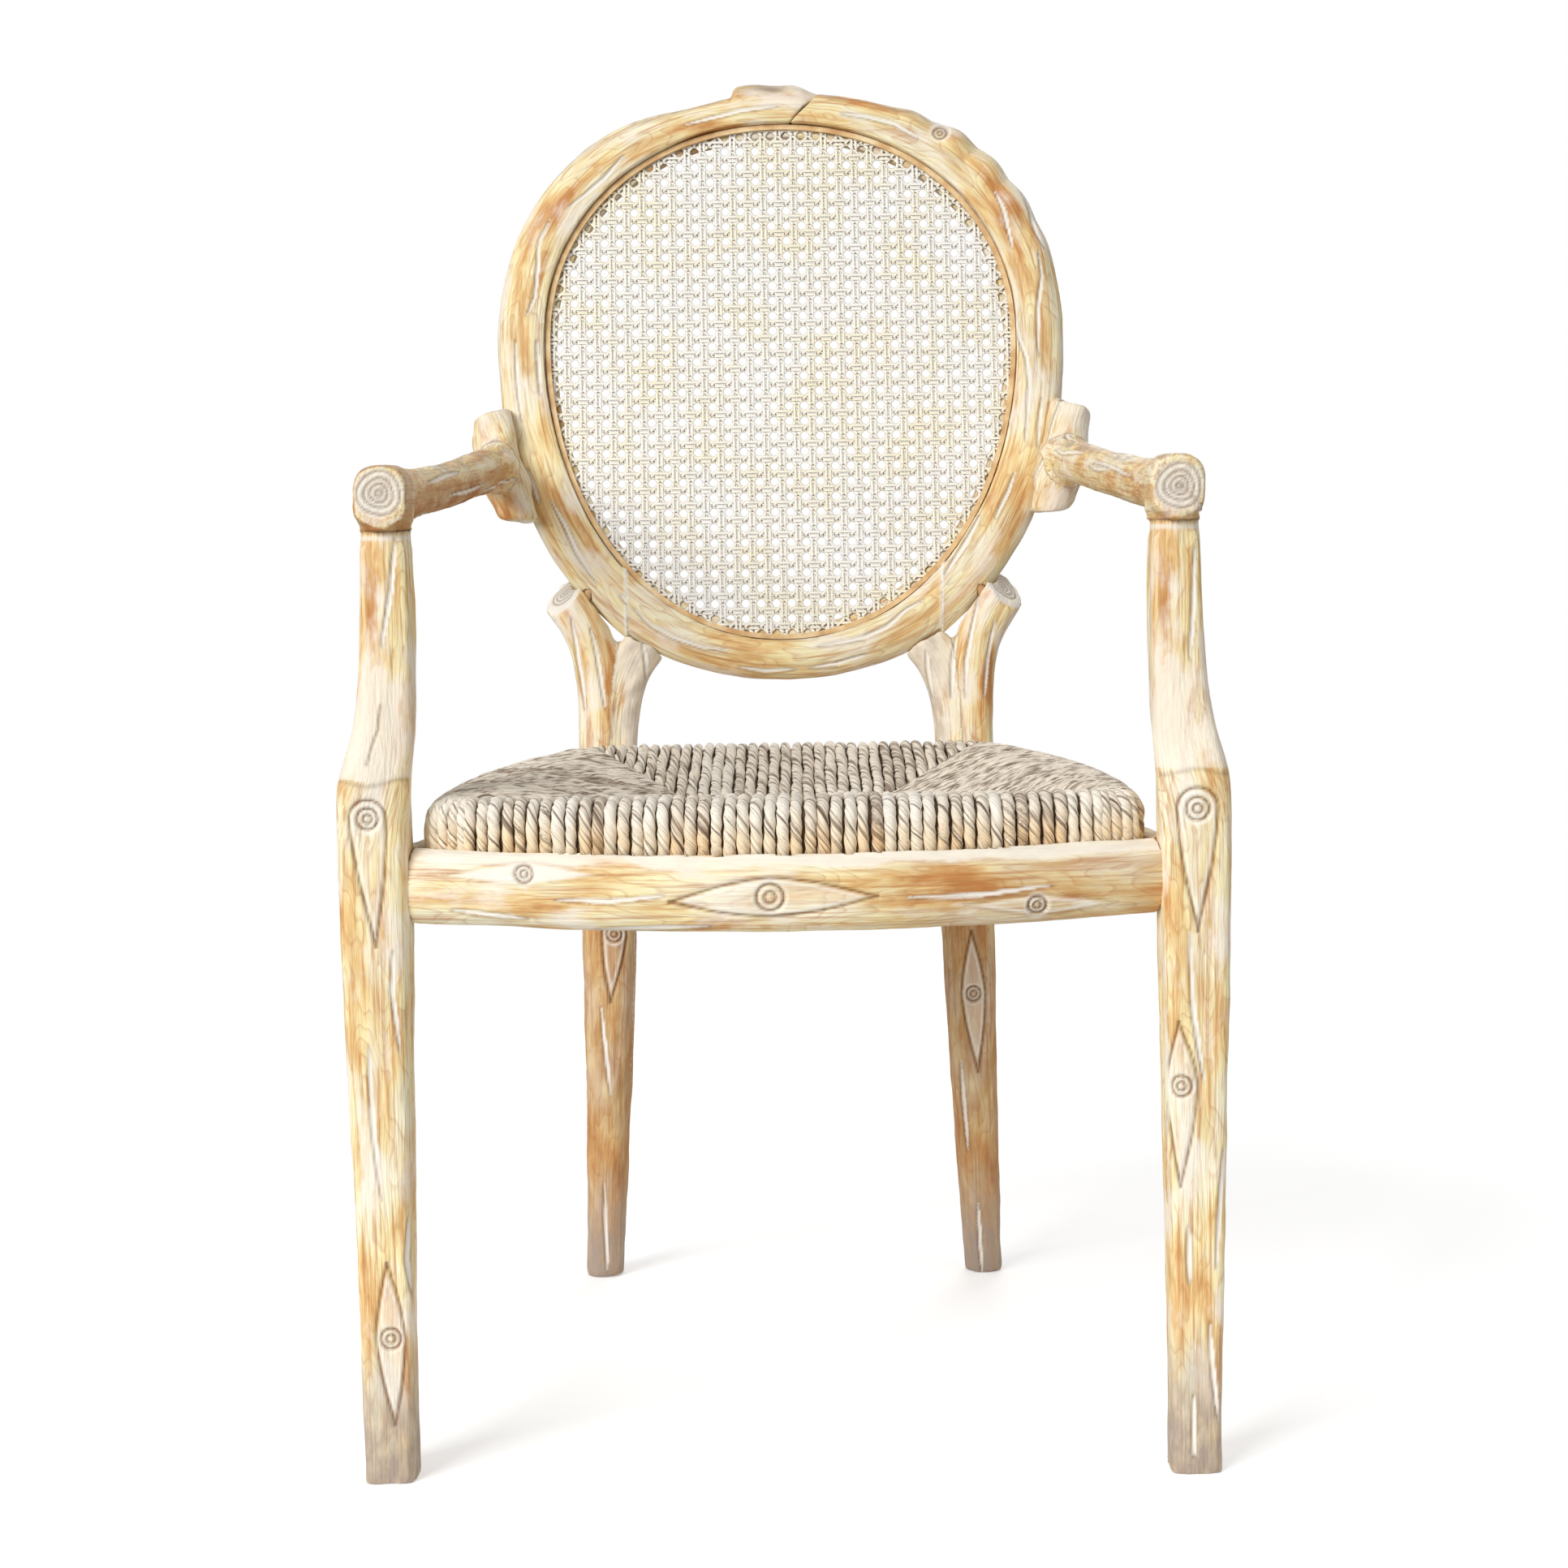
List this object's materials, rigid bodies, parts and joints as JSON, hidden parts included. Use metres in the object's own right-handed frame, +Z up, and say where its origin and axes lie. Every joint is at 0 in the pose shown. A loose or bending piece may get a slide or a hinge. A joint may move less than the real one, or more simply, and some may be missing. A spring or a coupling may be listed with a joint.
{
  "type": "faux bois armchair",
  "caption": "Carved armchair shaped like lopped branches, with an oval cane-webbing back, open arms and a loose twisted-rush seat that lifts out of its rails.",
  "frame": {"origin": "middle of the bounding box in plan, on the floor", "axes": "+Z up, the chair faces -Y, +X to the right as seen from the front"},
  "size_m": [0.6012, 0.5808, 1.0194],
  "materials": {
    "limed_wood": "hand carved, limewashed, matt",
    "inner_wood": "plain sawn, unfinished",
    "screw_steel": "dull",
    "cane": "woven strips, natural, satin",
    "rush": "twisted grass rope, matt"
  },
  "bodies": {
    "frame": {"front_leg_left": "limed_wood", "front_leg_right": "limed_wood", "arm_left": "limed_wood", "arm_right": "limed_wood", "back_leg_left": "limed_wood", "back_leg_right": "limed_wood", "back_stile_left": "limed_wood", "back_stile_right": "limed_wood", "back_lower_rail": "limed_wood", "front_seat_rail": "limed_wood", "rear_seat_rail": "limed_wood", "side_seat_rail_left": "limed_wood", "side_seat_rail_right": "limed_wood", "oval_dowels": "inner_wood", "arm_dowels": "inner_wood", "stem_dowels": "inner_wood", "corner_block_front_left": "inner_wood", "corner_block_front_right": "inner_wood", "corner_block_rear_left": "inner_wood", "corner_block_rear_right": "inner_wood", "corner_block_screws": "screw_steel", "cane_panel": "cane", "cane_spline": "cane"},
    "seat": {"rush_seat": "rush", "seat_frame_front": "inner_wood", "seat_frame_rear": "inner_wood", "seat_frame_left": "inner_wood", "seat_frame_right": "inner_wood"}
  },
  "joints": [
    {"name": "seat_lift", "type": "slide", "parent": "frame", "child": "seat", "axis": [0, 0, 1], "range_m": [0, 0.3]}
  ]
}
